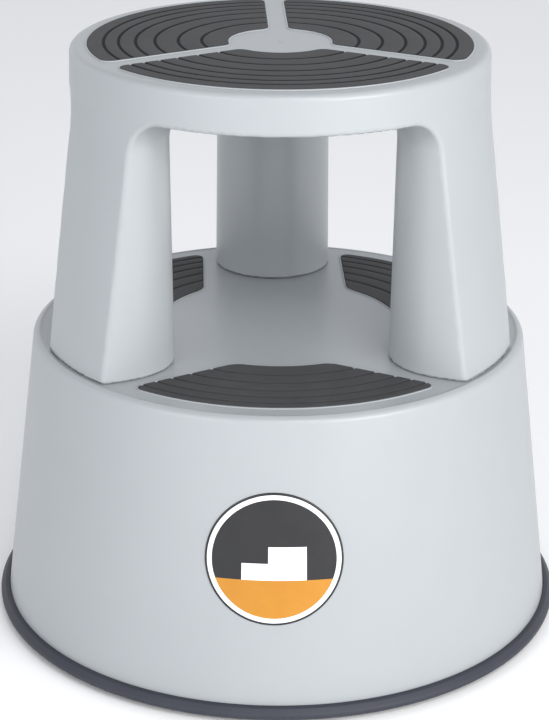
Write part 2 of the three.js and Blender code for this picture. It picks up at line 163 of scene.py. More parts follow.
def fillet(points, closed=False, steps=5):
    """Rounds the corners of a path of (a, b, radius) points."""
    out = []
    count = len(points)
    for i, (a, b, radius) in enumerate(points):
        here = np.array((a, b), float)
        if radius <= 0 or (not closed and i in (0, count - 1)):
            out.append((a, b))
            continue
        before = np.array(points[i - 1][:2], float) - here
        after = np.array(points[(i + 1) % count][:2], float) - here
        la, lb = np.hypot(*before), np.hypot(*after)
        ua, ub = before / la, after / lb
        cosine = float(np.clip(ua @ ub, -1, 1))
        half = math.acos(cosine) / 2
        reach = min(radius / math.tan(half), 0.49 * la, 0.49 * lb)
        real = reach * math.tan(half)
        centre = here + (ua + ub) / np.hypot(*(ua + ub)) * (real / math.sin(half))
        start, end = here + ua * reach - centre, here + ub * reach - centre
        a0 = math.atan2(start[1], start[0])
        turn = math.atan2(end[1], end[0]) - a0
        turn = (turn + math.pi) % (2 * math.pi) - math.pi
        for k in range(steps + 1):
            angle = a0 + turn * k / steps
            out.append((centre[0] + real * math.cos(angle), centre[1] + real * math.sin(angle)))
    return out


def revolve(profile, angles, closed=False):
    """Turns (radius, z) points about Z. Ends on the axis close to one point."""
    verts = []
    rows = []
    count = len(angles)
    for r, z in profile:
        if r < 1e-6:
            rows.append([len(verts)])
            verts.append((0.0, 0.0, z))
        else:
            rows.append(list(range(len(verts), len(verts) + count)))
            verts += [(r * math.cos(a), r * math.sin(a), z) for a in angles]
    faces = []
    pairs = list(zip(rows, rows[1:]))
    if closed:
        pairs.append((rows[-1], rows[0]))
    for low, high in pairs:
        for i in range(count):
            j = (i + 1) % count
            if len(low) == 1:
                faces.append((low[0], high[j], high[i]))
            elif len(high) == 1:
                faces.append((low[i], low[j], high[0]))
            else:
                faces.append((low[i], low[j], high[j], high[i]))
    return verts, faces


def circle_angles(count):
    return [2 * math.pi * i / count for i in range(count)]


def prism(outline, z0, z1, bevel=0.0):
    """Upright prism with softened top and bottom edges. outline runs anticlockwise."""
    outline = [Vector((x, y)) for x, y in outline]
    count = len(outline)

    def inset(amount):
        out = []
        for i in range(count):
            a, b, c = outline[i - 1], outline[i], outline[(i + 1) % count]
            n1 = Vector((-(b - a).y, (b - a).x)).normalized()
            n2 = Vector((-(c - b).y, (c - b).x)).normalized()
            n = (n1 + n2).normalized()
            out.append(b + n * (amount / max(n.dot(n1), 0.3)))
        return out

    layers = []
    if bevel > 0:
        for k in range(4):
            t = k / 3 * math.pi / 2
            layers.append((bevel * (1 - math.sin(t)), z0 + bevel * (1 - math.cos(t))))
        layers += [(i, z1 - (z - z0)) for i, z in reversed(layers)]
    else:
        layers = [(0.0, z0), (0.0, z1)]
    verts = []
    for amount, z in layers:
        verts += [(p.x, p.y, z) for p in inset(amount)]
    faces = [tuple(reversed(range(count)))]
    for k in range(len(layers) - 1):
        for i in range(count):
            j = (i + 1) % count
            faces.append((k * count + i, k * count + j, (k + 1) * count + j, (k + 1) * count + i))
    last = (len(layers) - 1) * count
    faces.append(tuple(range(last, last + count)))
    return verts, faces


def spin(degrees):
    return Matrix.Rotation(math.radians(degrees), 4, "Z")


def move(x, y, z):
    return Matrix.Translation((x, y, z))


# ---------------------------------------------------------------- materials
def new_material(name):
    mat = bpy.data.materials.new(name)
    mat.use_nodes = True
    tree = mat.node_tree
    shader = next(n for n in tree.nodes if n.type == "BSDF_PRINCIPLED")
    return mat, tree, shader


def coordinates(tree, scale=(1, 1, 1)):
    where = tree.nodes.new("ShaderNodeTexCoord")
    mapping = tree.nodes.new("ShaderNodeMapping")
    mapping.inputs["Scale"].default_value = scale
    tree.links.new(where.outputs["Object"], mapping.inputs["Vector"])
    return mapping.outputs["Vector"]


def noise(tree, vector, scale, detail=3.0, rough=0.5):
    node = tree.nodes.new("ShaderNodeTexNoise")
    node.inputs["Scale"].default_value = scale
    node.inputs["Detail"].default_value = detail
    node.inputs["Roughness"].default_value = rough
    tree.links.new(vector, node.inputs["Vector"])
    return node.outputs["Fac"]


def ramp(tree, factor, stops, constant=False):
    node = tree.nodes.new("ShaderNodeValToRGB")
    if constant:
        node.color_ramp.interpolation = "CONSTANT"
    elements = node.color_ramp.elements
    while len(elements) < len(stops):
        elements.new(0.5)
    for element, (at, colour) in zip(elements, stops):
        element.position = at
        element.color = (*colour, 1)
    tree.links.new(factor, node.inputs["Fac"])
    return node.outputs["Color"]


def bump(tree, height, strength, distance, normal=None):
    node = tree.nodes.new("ShaderNodeBump")
    node.inputs["Strength"].default_value = strength
    node.inputs["Distance"].default_value = distance
    tree.links.new(height, node.inputs["Height"])
    if normal is not None:
        tree.links.new(normal, node.inputs["Normal"])
    return node.outputs["Normal"]


def grained(name, dark, light, tone_scale, grain_scale, strength, distance, roughness,
            metallic=0.0, specular=0.5, stretch=(1, 1, 1)):
    """Two close tones that drift over the surface, and a fine grain in relief."""
    mat, tree, shader = new_material(name)
    vector = coordinates(tree, stretch)
    tone = noise(tree, vector, tone_scale, 4.0, 0.6)
    colour = ramp(tree, tone, ((0.3, dark), (0.7, light)))
    tree.links.new(colour, shader.inputs["Base Color"])
    grain = noise(tree, vector, grain_scale, 2.0, 0.5)
    tree.links.new(bump(tree, grain, strength, distance), shader.inputs["Normal"])
    shader.inputs["Roughness"].default_value = roughness
    shader.inputs["Metallic"].default_value = metallic
    shader.inputs["Specular IOR Level"].default_value = specular
    return mat


SHELL = grained("shell_plastic", (0.328, 0.348, 0.362), (0.342, 0.362, 0.376), 9, 2600, 0.25, 0.0001,
                0.36, specular=0.5)
PAD = grained("pad_rubber", (0.048, 0.048, 0.050), (0.058, 0.058, 0.060), 30, 1500, 0.35, 0.0002, 0.72,
              specular=0.3)
# painted shade: the top pads' grooves, lower rim and side take this darker rubber in place of the shade
# that falls in them
PAD_TOP_GROOVE_SHADE = grained("pad_rubber_top_groove_shade", (0.016, 0.016, 0.018), (0.022, 0.022, 0.024), 30, 1500, 0.35,
                   0.0002, 0.8, specular=0.15)
# painted shade, lighter: the step pads' grooves, lower rim and side take this darker rubber in place of
# the shade that falls in them
PAD_STEP_GROOVE_SHADE = grained("pad_rubber_step_groove_shade", (0.036, 0.036, 0.038), (0.042, 0.042, 0.044), 30, 1500,
                   0.35, 0.0002, 0.8, specular=0.2)
BUMPER = grained("ring_rubber", (0.028, 0.031, 0.042), (0.036, 0.039, 0.051), 20, 1800, 0.2, 0.0001,
                 0.55, specular=0.35)
BLACK = grained("castor_plastic", (0.018, 0.018, 0.019), (0.028, 0.028, 0.03), 40, 2500, 0.2, 0.0001,
                0.5)
WHEEL = grained("wheel_plastic", (0.035, 0.035, 0.037), (0.05, 0.05, 0.053), 50, 2500, 0.2, 0.0001,
                0.55)
STEEL = grained("zinc_steel", (0.5, 0.51, 0.53), (0.62, 0.63, 0.64), 60, 900, 0.08, 0.0001, 0.32,
                metallic=1.0)
LABEL_DARK = grained("label_charcoal", (0.010, 0.010, 0.012), (0.014, 0.014, 0.016), 60, 900, 0.03,
                     0.0001, 0.35)
LABEL_WHITE = grained("label_white", (0.76, 0.77, 0.78), (0.82, 0.83, 0.83), 60, 900, 0.03, 0.0001,
                      0.35)
LABEL_AMBER = grained("label_amber", (0.45, 0.185, 0.012), (0.49, 0.21, 0.016), 60, 900, 0.03, 0.0001,
                      0.35)


# ---------------------------------------------------------------- upper shell
def smooth_or(a, b, radius):
    """Joins two solids with a concave fillet."""
    u = np.maximum(radius - a, 0)
    v = np.maximum(radius - b, 0)
    return np.maximum(radius, np.minimum(a, b)) - np.hypot(u, v)


def smooth_and(a, b, radius):
    """Common part of two solids, its edge rounded."""
    u = np.maximum(radius + a, 0)
    v = np.maximum(radius + b, 0)
    return np.minimum(-radius, np.maximum(a, b)) + np.hypot(u, v)


def upper_field(p):
    """Distance from the surface of the upper moulding, negative inside."""
    x, y, z = p
    r = np.hypot(x, y)
    height = (z - LEG_FOOT_Z) / (SOFFIT_Z - LEG_FOOT_Z)
    slope = (LEG_FOOT_R - SKIRT_R) / (SOFFIT_Z - LEG_FOOT_Z)
    cone = (r - LEG_FOOT_R + slope * (z - LEG_FOOT_Z)) / math.hypot(1, slope)
    lean = (SKIRT_R - RIM_R) / (DECK_Z - SOFFIT_Z)
    skirt = (r - SKIRT_R + lean * (z - SOFFIT_Z)) / math.hypot(1, lean)
    wall = np.minimum(cone, skirt)
    hull = smooth_and(wall, z - DECK_Z, RIM_ROUND)
    legs = None
    rounding = LEG_ROUND_FOOT + (LEG_ROUND_TOP - LEG_ROUND_FOOT) * height
    for angle in LEG_ANGLES.values():
        c, s = math.cos(math.radians(angle)), math.sin(math.radians(angle))
        along = c * x + s * y - LEG_CENTRE
        across = np.abs(c * y - s * x)
        inner = np.hypot(np.minimum(along, 0), across) - rounding
        leg = inner + LEG_CLOSING * np.maximum(along, 0) ** 2
        legs = leg if legs is None else np.minimum(legs, leg)
    body = smooth_or(legs, SOFFIT_Z - z, LEG_FLARE)
    body = smooth_and(body, hull, EDGE_ROUND)
    return smooth_and(body, LEG_FOOT_Z - z, 1.0)


def field_gradient(field, p, h=0.02):
    out = []
    for axis in range(3):
        step = np.zeros((3, 1))
        step[axis] = h
        out.append((field(p + step) - field(p - step)) / (2 * h))
    g = np.array(out)
    return g, np.linalg.norm(g, axis=0)


def surface_net(field, low, high, step):
    """Quads on the zero surface of a field, drawn onto it exactly, with its normals."""
    axes = [np.arange(a, b + step, step) for a, b in zip(low, high)]
    grid = np.meshgrid(*axes, indexing="ij")
    shape = grid[0].shape
    inside = field(np.array([g.ravel() for g in grid])).reshape(shape) < 0
    mixed = np.zeros([n - 1 for n in shape], int)
    for i in (0, 1):
        for j in (0, 1):
            for k in (0, 1):
                mixed += inside[i:shape[0] - 1 + i, j:shape[1] - 1 + j, k:shape[2] - 1 + k]
    cells = np.argwhere((mixed > 0) & (mixed < 8))
    number = np.full(mixed.shape, -1)
    number[tuple(cells.T)] = np.arange(len(cells))
    p = np.array([axes[d][cells[:, d]] + step / 2 for d in range(3)])
    for _ in range(8):
        value = field(p)
        g, size = field_gradient(field, p)
        p = p - np.clip(value / np.maximum(size, 0.2) ** 2, -step, step) * g
    g, size = field_gradient(field, p)
    normals = (g / np.maximum(size, 1e-6)).T
    faces = []
    for axis in range(3):
        b, c = (axis + 1) % 3, (axis + 2) % 3
        near = [slice(None)] * 3
        far = [slice(None)] * 3
        near[axis] = slice(None, -1)
        far[axis] = slice(1, None)
        crossing = np.argwhere(inside[tuple(near)] != inside[tuple(far)])
        keep = (crossing[:, b] > 0) & (crossing[:, c] > 0)
        keep &= (crossing[:, b] < shape[b] - 1) & (crossing[:, c] < shape[c] - 1)
        crossing = crossing[keep]
        outward = inside[tuple(crossing.T)]
        corners = []
        for db, dc in ((-1, -1), (0, -1), (0, 0), (-1, 0)):
            at = crossing.copy()
            at[:, b] += db
            at[:, c] += dc
            corners.append(number[tuple(at.T)])
        quads = np.array(corners).T
        quads[~outward] = quads[~outward][:, ::-1]
        faces.append(quads)
    return p.T, np.vstack(faces), normals


# ---------------------------------------------------------------- pads
def pad_half_angle(pad, radius, inset=0.0):
    """Half the pad's angle at a radius; corners rounded, sides parallel to the legs."""
    c, to_edge = pad["corner"], radius - pad["inner"]
    if pad["outer"] - radius < to_edge:
        c, to_edge = pad["tip"], pad["outer"] - radius
    cut = 0.0
    if to_edge < c:
        cut = c - math.sqrt(max(c * c - (c - to_edge) ** 2, 0.0))
    side = pad["side"] + cut + inset
    return math.pi / 3 - math.asin(min(side / radius, 1.0))


def groove_depth(pad, radius):
    for groove in pad["grooves"]:
        off = abs(radius - groove) / GROOVE_HALF
        if off < 1:
            return 0.5 + 0.5 * math.cos(math.pi * off)
    return 0.0


def pad_radii(pad):
    inner, outer, c, tip = pad["inner"], pad["outer"], pad["corner"], pad["tip"]
    radii = {round(inner + c * (1 - math.cos(math.pi / 2 * k / 6)), 3) for k in range(7)}
    radii |= {round(outer - tip * (1 - math.cos(math.pi / 2 * k / 8)), 3) for k in range(9)}
    for groove in pad["grooves"]:
        radii |= {round(groove + GROOVE_HALF * k / 4, 3) for k in range(-4, 5)}
    edges = sorted(radii)
    for a, b in zip(edges, edges[1:]):
        parts = int((b - a) // 3.5)
        radii |= {round(a + (b - a) * k / (parts + 1), 3) for k in range(1, parts + 1)}
    return sorted(radii)


def pad_mesh(pad):
    """Top of the pad as rows of constant radius, then its softened rim and side; grooves, lower rim, side
    and bottom take slot 1, painted shade.
    """
    radii = pad_radii(pad)
    across = 72
    verts = []
    for radius in radii:
        depth = groove_depth(pad, radius)
        half = pad_half_angle(pad, radius, NOTCH * depth)
        for i in range(across + 1):
            angle = half * (2 * i / across - 1)
            verts.append([radius * math.cos(angle), radius * math.sin(angle),
                          pad["top"] - GROOVE_DEPTH * depth])
    rows = len(radii)
    wide = across + 1
    faces = []
    slots = []
    for k in range(rows - 1):
        middle = (radii[k] + radii[k + 1]) / 2
        # faces in a groove take slot 1, the darker rubber that paints the groove's shade
        dark = groove_depth(pad, middle) > 0.3
        for i in range(across):
            a = k * wide + i
            faces.append((a, a + wide, a + wide + 1, a + 1))
            slots.append(int(dark))
    loop = [i for i in range(wide)]
    loop += [k * wide + across for k in range(1, rows)]
    loop += [(rows - 1) * wide + i for i in range(across - 1, -1, -1)]
    loop += [k * wide for k in range(rows - 2, 0, -1)]
    count = len(loop)
    base = [Vector(verts[i][:2]) for i in loop]
    outward = []
    for i in range(count):
        edge = base[(i + 1) % count] - base[i - 1]
        outward.append(Vector((-edge.y, edge.x)).normalized())
    centre = Vector((sum(p.x for p in base) / count, sum(p.y for p in base) / count))
    if sum((p - centre).dot(n) for p, n in zip(base, outward)) < 0:
        outward = [-n for n in outward]
    previous = loop
    for push, drop in ((0.25, 0.05), (0.45, 0.25), (0.5, 0.5), (0.5, None)):
        start = len(verts)
        for i in range(count):
            x, y = base[i] + outward[i] * push
            z = verts[loop[i]][2] - drop if drop is not None else pad["bottom"]
            verts.append([x, y, max(z, pad["bottom"])])
        ring = list(range(start, start + count))
        for i in range(count):
            j = (i + 1) % count
            faces.append((previous[j], previous[i], ring[i], ring[j]))
            # the lower rounding and the side take slot 1 too, painted shade on the pad's side
            slots.append(int(push == 0.5))
        previous = ring
    # the bottom face takes the painted-shade slot as well
    faces.append(tuple(reversed(previous)))
    slots.append(1)
    return verts, faces, slots


def pad_outline(pad, grow, spacing=2.5):
    """Plain outline of a pad, pushed out by grow, anticlockwise."""
    grown = dict(pad, inner=pad["inner"] - grow, outer=pad["outer"] + grow,
                 side=pad["side"] - grow, corner=pad["corner"] + grow, tip=pad["tip"] + grow)
    inner, outer, c, tip = grown["inner"], grown["outer"], grown["corner"], grown["tip"]
    radii = [inner + c * (1 - math.cos(math.pi / 2 * k / 6)) for k in range(7)]
    straight = outer - inner - c - tip
    steps = int(straight / spacing)
    radii += [inner + c + straight * k / steps for k in range(1, steps)]
    radii += [outer - tip * (1 - math.cos(math.pi / 2 * k / 8)) for k in range(8, -1, -1)]
    right = [(r, pad_half_angle(grown, r)) for r in radii]
    points = [(r, -a) for r, a in right]
    half = right[-1][1]
    steps = int(2 * half * outer / spacing)
    points += [(outer, half * (2 * k / steps - 1)) for k in range(1, steps)]
    points += list(reversed(right))
    half = right[0][1]
    steps = int(2 * half * inner / spacing)
    points += [(inner, half * (1 - 2 * k / steps)) for k in range(1, steps)]
    return [(r * math.cos(a), r * math.sin(a)) for r, a in points]


def bead(outline, width, z0, height):
    """Low rounded bead along a closed outline, its foot sunk a little."""
    section = [(-width / 2, -0.4)]
    for k in range(7):
        t = math.pi * (1 - k / 6)
        section.append((width / 2 * math.cos(t), height * math.sin(t) ** 0.7 if 0 < k < 6 else 0.0))
    section.append((width / 2, -0.4))
    count = len(outline)
    points = [Vector(p) for p in outline]
    verts = []
    for i in range(count):
        edge = points[(i + 1) % count] - points[i - 1]
        out = Vector((edge.y, -edge.x)).normalized()
        for across, up in section:
            q = points[i] + out * across
            verts.append((q.x, q.y, z0 + up))
    wide = len(section)
    faces = []
    for i in range(count):
        j = (i + 1) % count
        for k in range(wide):
            m = (k + 1) % wide
            faces.append((i * wide + k, j * wide + k, j * wide + m, i * wide + m))
    return verts, faces


def pad_lip(pad, z):
    """Thin raised line of the moulding round a pad."""
    return bead(pad_outline(pad, LIP["gap"]), LIP["width"], z, LIP["height"])


def build_upper_shell():
    verts, faces, normals = surface_net(
        upper_field, NET_LOW, NET_HIGH, NET_STEP)
    shell = mesh_object("upper_shell_moulding", verts, faces.tolist(), [SHELL], normals=normals)
    trim = Shape()
    for angle in PAD_ANGLES.values():
        trim.add(*pad_lip(TOP_PAD, DECK_Z), spin(angle))
    for angle in LEG_ANGLES.values():
        for offset, width in HOOKS:
            trim.add(*hook_mesh(width), spin(angle + offset))
    gate = revolve([(0, DECK_Z + 0.6), (1.2, DECK_Z + 0.45), (2.2, DECK_Z + 0.12), (2.8, DECK_Z - 0.2)],
                   circle_angles(24))
    trim.add(*gate)
    extra = mesh_object("upper_shell_trim", trim.verts, trim.faces, [SHELL], sharp=40)
    return shell, extra


def hook_mesh(width):
    inner = LEG_FOOT_R - 3.6
    outer = inner + 2.7
    catch = STEP_UNDER_Z - 0.3
    side = fillet([
        (inner, LEG_FOOT_Z + 5, 0),
        (inner, catch - 5.2, 0.5),
        (outer - 0.6, catch - 5.2, 0.5),
        (outer + 1.7, catch - 1.6, 0.4),
        (outer + 1.7, catch, 0.3),
        (outer, catch, 0.2),
        (outer, LEG_FOOT_Z + 5, 0),
    ], closed=True, steps=2)
    verts = [(x, s * width / 2, z) for s in (-1, 1) for x, z in side]
    count = len(side)
    faces = [(i, (i + 1) % count, count + (i + 1) % count, count + i) for i in range(count)]
    faces.append(tuple(reversed(range(count))))
    faces.append(tuple(range(count, 2 * count)))
    return verts, faces


# ---------------------------------------------------------------- base shell
def wall_radius(z):
    share = (z - BASE_BOTTOM_Z) / (BASE_RIM_Z - BASE_BOTTOM_Z)
    return BASE_BOTTOM_R + (BASE_RIM_R - BASE_BOTTOM_R) * share


def base_profile():
    outer_r, inner_r = SLOT_R[1], SLOT_R[0]
    path = fillet([
        (inner_r, STEP_UNDER_Z, 0),
        (outer_r, STEP_UNDER_Z, 0),
        (wall_radius(STEP_UNDER_Z) - BASE_WALL, STEP_UNDER_Z, 4.0),
        (wall_radius(180) - BASE_WALL, 180, 0),
        (wall_radius(120) - BASE_WALL, 120, 0),
        (wall_radius(60) - BASE_WALL, 60, 0),
        (BASE_BOTTOM_R - BASE_WALL, BASE_BOTTOM_Z, 0.8),
        (BASE_BOTTOM_R, BASE_BOTTOM_Z, 0.8),
        (wall_radius(30), 30, 0),
        (wall_radius(80), 80, 0),
        (wall_radius(150), 150, 0),
        (wall_radius(195), 195, 0),
        (wall_radius(215.4), 215.4, 5.0),
        (wall_radius(215.4) - 4.4, 217.8, 3.0),
        (outer_r + 0.4, STEP_Z, 1.0),
        (outer_r, STEP_Z, 0),
        (inner_r, STEP_Z, 0),
    ], steps=6)
    return path


def build_base_shell():
    slots = []
    marks = set(round(2 * math.pi * i / 288, 6) for i in range(288))
    for angle in LEG_ANGLES.values():
        for offset, width in HOOKS:
            half = (width + 1) / 2 / 171.8
            middle = math.radians(angle + offset)
            slots.append((middle - half, middle + half))
            marks |= {round(middle - half, 6), round(middle + half, 6)}
    angles = sorted(marks)

    def slotted(angle):
        return any(a < angle < b for a, b in slots)

    path = base_profile()
    disc_under = [(0, STEP_UNDER_Z), (20, STEP_UNDER_Z), (60, STEP_UNDER_Z), (120, STEP_UNDER_Z)]
    disc_over = [(r, STEP_Z) for r in (150, 120, 90, 60, 20, 0)]
    profile = disc_under + path + disc_over
    verts, faces = revolve(profile, angles)
    count = len(angles)
    under_in = 1 + 3 * count
    under_out = under_in + count
    over_out = under_in + (len(path) - 2) * count
    over_in = over_out + count
    kept = []
    for face in faces:
        if len(face) == 4:
            ring = face[0] - (face[0] - 1) % count
            i = (face[0] - 1) % count
            mid = (angles[i] + (angles[(i + 1) % count] if i + 1 < count else angles[0] + 2 * math.pi)) / 2
            if ring in (under_in, over_out) and slotted(mid):
                continue
        kept.append(face)
    for a, b in slots:
        first = min(range(count), key=lambda i: abs(angles[i] - a))
        last = min(range(count), key=lambda i: abs(angles[i] - b))
        for i in range(first, last):
            kept.append((under_in + i, under_in + i + 1, over_in + i + 1, over_in + i))
            kept.append((under_out + i + 1, under_out + i, over_out + i, over_out + i + 1))
        kept.append((under_out + first, under_in + first, over_in + first, over_out + first))
        kept.append((under_in + last, under_out + last, over_out + last, over_in + last))
    shape = Shape()
    shape.add(verts, kept)
    for angle in PAD_ANGLES.values():
        shape.add(*pad_lip(STEP_PAD, STEP_Z), spin(angle))
    for angle in LEG_ANGLES.values():
        turn = spin(angle)
        for verts, faces in boss_parts():
            shape.add(verts, faces, turn)
    inner, outer, low = GUIDE_RING
    high = STEP_UNDER_Z + 1
    ring = revolve([(inner, low), (outer, low), (outer, high), (inner, high)],
                   circle_angles(96), closed=True)
    shape.add(*ring)
    return mesh_object("base_shell_moulding", shape.verts, shape.faces, [SHELL], sharp=35)


def boss_parts():
    """Castor boss under a leg: tube, screw lugs and ribs, drawn along +X."""
    bottom, top = BOSS_BOTTOM, STEP_UNDER_Z + 1
    parts = []

    def tube(outer, inner, floor_z, side, flare):
        path = [
            (0, floor_z, 0), (inner, floor_z, 0.5), (inner, bottom, 0.5), (outer, bottom, 0.8),
            (outer, STEP_UNDER_Z, flare), (outer + flare + 2, STEP_UNDER_Z - 0.01, 0)]
        verts, faces = revolve(fillet(path, steps=5), circle_angles(48))
        moved = [(x + CASTOR_R, y + side, z) for x, y, z in verts]
        parts.append((moved, faces))

    tube(14, 10, STEP_UNDER_Z - 6, 0, 3)
    for side in (-19, 19):
        tube(5.5, 2.1, bottom + 14, side, 1.5)
        low, high = sorted((side - math.copysign(4.5, side), math.copysign(13, side)))
        parts.append(prism([(CASTOR_R - 1.5, low), (CASTOR_R + 1.5, low),
                            (CASTOR_R + 1.5, high), (CASTOR_R - 1.5, high)],
                           bottom + 1, top, 0.4))

    def rib(corners):
        outline = [(a, -b) for a, b in corners]
        verts, faces = prism(outline, -1.5, 1.5, 0.4)
        parts.append(([(x, z, -y) for x, y, z in verts], faces))

    rib([(CASTOR_R + 13, bottom + 4), (wall_radius(bottom + 4) - 2.5, bottom + 4),
         (wall_radius(top) - 2.5, top), (CASTOR_R + 13, top)][::-1])
    rib([(CASTOR_R - 13, 150), (CASTOR_R - 13, top), (60, top), (60, 196)])
    return parts


# ---------------------------------------------------------------- ring and label
def build_ring():
    path = fillet([
        (197.6, 4.0, 0.8),
        (210.6, 4.0, 1.4),
        (213.0, 6.2, 1.2),
        (213.0, 9.0, 2.6),
        (209.6, 12.9, 2.2),
        (wall_radius(13.4) + 0.3, 13.4, 0.35),
        (BASE_BOTTOM_R + 0.3, 7.3, 0),
        (BASE_BOTTOM_R - 4.3, 7.3, 0),
        (wall_radius(18) - 4.3, 18.0, 0.5),
        (197.6, 18.0, 0.8),
    ], closed=True, steps=6)
    verts, faces = revolve(path, circle_angles(288), closed=True)
    return mesh_object("foot_ring", verts, faces, [BUMPER], sharp=50)


LABEL_TILT = math.atan2(BASE_BOTTOM_R - BASE_RIM_R, BASE_RIM_Z - BASE_BOTTOM_Z)


def on_wall(u, v, lift):
    """Point on the cone wall, u to the right and v up from the label's middle."""
    z = LABEL_Z + v * math.cos(LABEL_TILT)
    angle = math.radians(LABEL_ANGLE) + u / wall_radius(LABEL_Z)
    radius = wall_radius(z) + lift
    return (radius * math.cos(angle), radius * math.sin(angle), z)


def label_slot(u, v):
    """0 charcoal, 1 white, 2 amber."""
    r = math.hypot(u, v)
    left, middle, right = STEP_SIDES
    lower, upper = STEP_LINES
    if r > LABEL_R - LABEL_EDGE:
        return 0
    if r > LABEL_R - LABEL_BAND:
        return 1
    if left < u < right and HORIZON < v < lower:
        return 1
    if middle < u < right and lower <= v < upper:
        return 1
    return 0 if v > HORIZON else 2


def build_label():
    flat = bmesh.new()
    rings = [6, 12, 18, 24, 30, 36, 40, LABEL_R - LABEL_BAND, LABEL_R - LABEL_EDGE, LABEL_R - 0.4]
    count = 144
    centre = flat.verts.new((0, 0, 0))
    previous = None
    for radius in rings:
        row = [flat.verts.new((radius * math.cos(a), radius * math.sin(a), 0))
               for a in circle_angles(count)]
        for i in range(count):
            j = (i + 1) % count
            if previous is None:
                flat.faces.new((centre, row[i], row[j]))
            else:
                flat.faces.new((previous[i], row[i], row[j], previous[j]))
        previous = row
    for line in (HORIZON, *STEP_LINES):
        geom = flat.verts[:] + flat.edges[:] + flat.faces[:]
        bmesh.ops.bisect_plane(flat, geom=geom, plane_co=(0, line, 0), plane_no=(0, 1, 0))
    for line in STEP_SIDES:
        geom = flat.verts[:] + flat.edges[:] + flat.faces[:]
        bmesh.ops.bisect_plane(flat, geom=geom, plane_co=(line, 0, 0), plane_no=(1, 0, 0))
    flat.verts.index_update()
    verts = [on_wall(v.co.x, v.co.y, 0.7) for v in flat.verts]
    faces = [tuple(v.index for v in f.verts) for f in flat.faces]
    slots = [label_slot(*f.calc_center_median().xy) for f in flat.faces]
    edge = [v for v in flat.verts if v.is_boundary]
    edge.sort(key=lambda v: math.atan2(v.co.y, v.co.x))
    previous = [v.index for v in edge]
    for radius, lift in ((LABEL_R - 0.1, 0.6), (LABEL_R, 0.4), (LABEL_R, 0.05)):
        start = len(verts)
        for v in edge:
            a = math.atan2(v.co.y, v.co.x)
            verts.append(on_wall(radius * math.cos(a), radius * math.sin(a), lift))
        ring = list(range(start, start + len(edge)))
        for i in range(len(edge)):
            j = (i + 1) % len(edge)
            faces.append((previous[i], ring[i], ring[j], previous[j]))
            slots.append(0)
        previous = ring
    flat.free()
    return mesh_object("round_label", verts, faces, [LABEL_DARK, LABEL_WHITE, LABEL_AMBER],
                       sharp=40, face_slots=slots)


# ---------------------------------------------------------------- castors
def castor_place(angle):
    return spin(angle) @ move(CASTOR_R, 0, 0)


def turned(name, path, angle, material, segments=48, closed=False, place=None, sharp=35):
    verts, faces = revolve(fillet(path, closed=closed, steps=4), circle_angles(segments), closed)
    shape = Shape().add(verts, faces, castor_place(angle) @ (place or Matrix()))
    return mesh_object(name, shape.verts, shape.faces, [material], sharp=sharp)


def holed_plate(outline, hole, z0, z1, bevel):
    """Flat plate with softened edges and a round hole at its middle."""
    def ring(inset, z):
        shrink = [1 - inset / math.hypot(x, y) for x, y in outline]
        return [(x * k, y * k, z) for (x, y), k in zip(outline, shrink)]

    def bore(radius, z):
        return [(radius * x / math.hypot(x, y), radius * y / math.hypot(x, y), z) for x, y in outline]

    soft = 0.3 * bevel
    layers = [bore(hole, z0), ring(bevel, z0), ring(soft, z0 + soft), ring(0, z0 + bevel),
              ring(0, z1 - bevel), ring(soft, z1 - soft), ring(bevel, z1), bore(hole, z1)]
    verts = [point for layer in layers for point in layer]
    count = len(outline)
    faces = []
    for k in range(len(layers)):
        low, high = k * count, (k + 1) % len(layers) * count
        for i in range(count):
            j = (i + 1) % count
            faces.append((low + i, low + j, high + j, high + i))
    return verts, faces


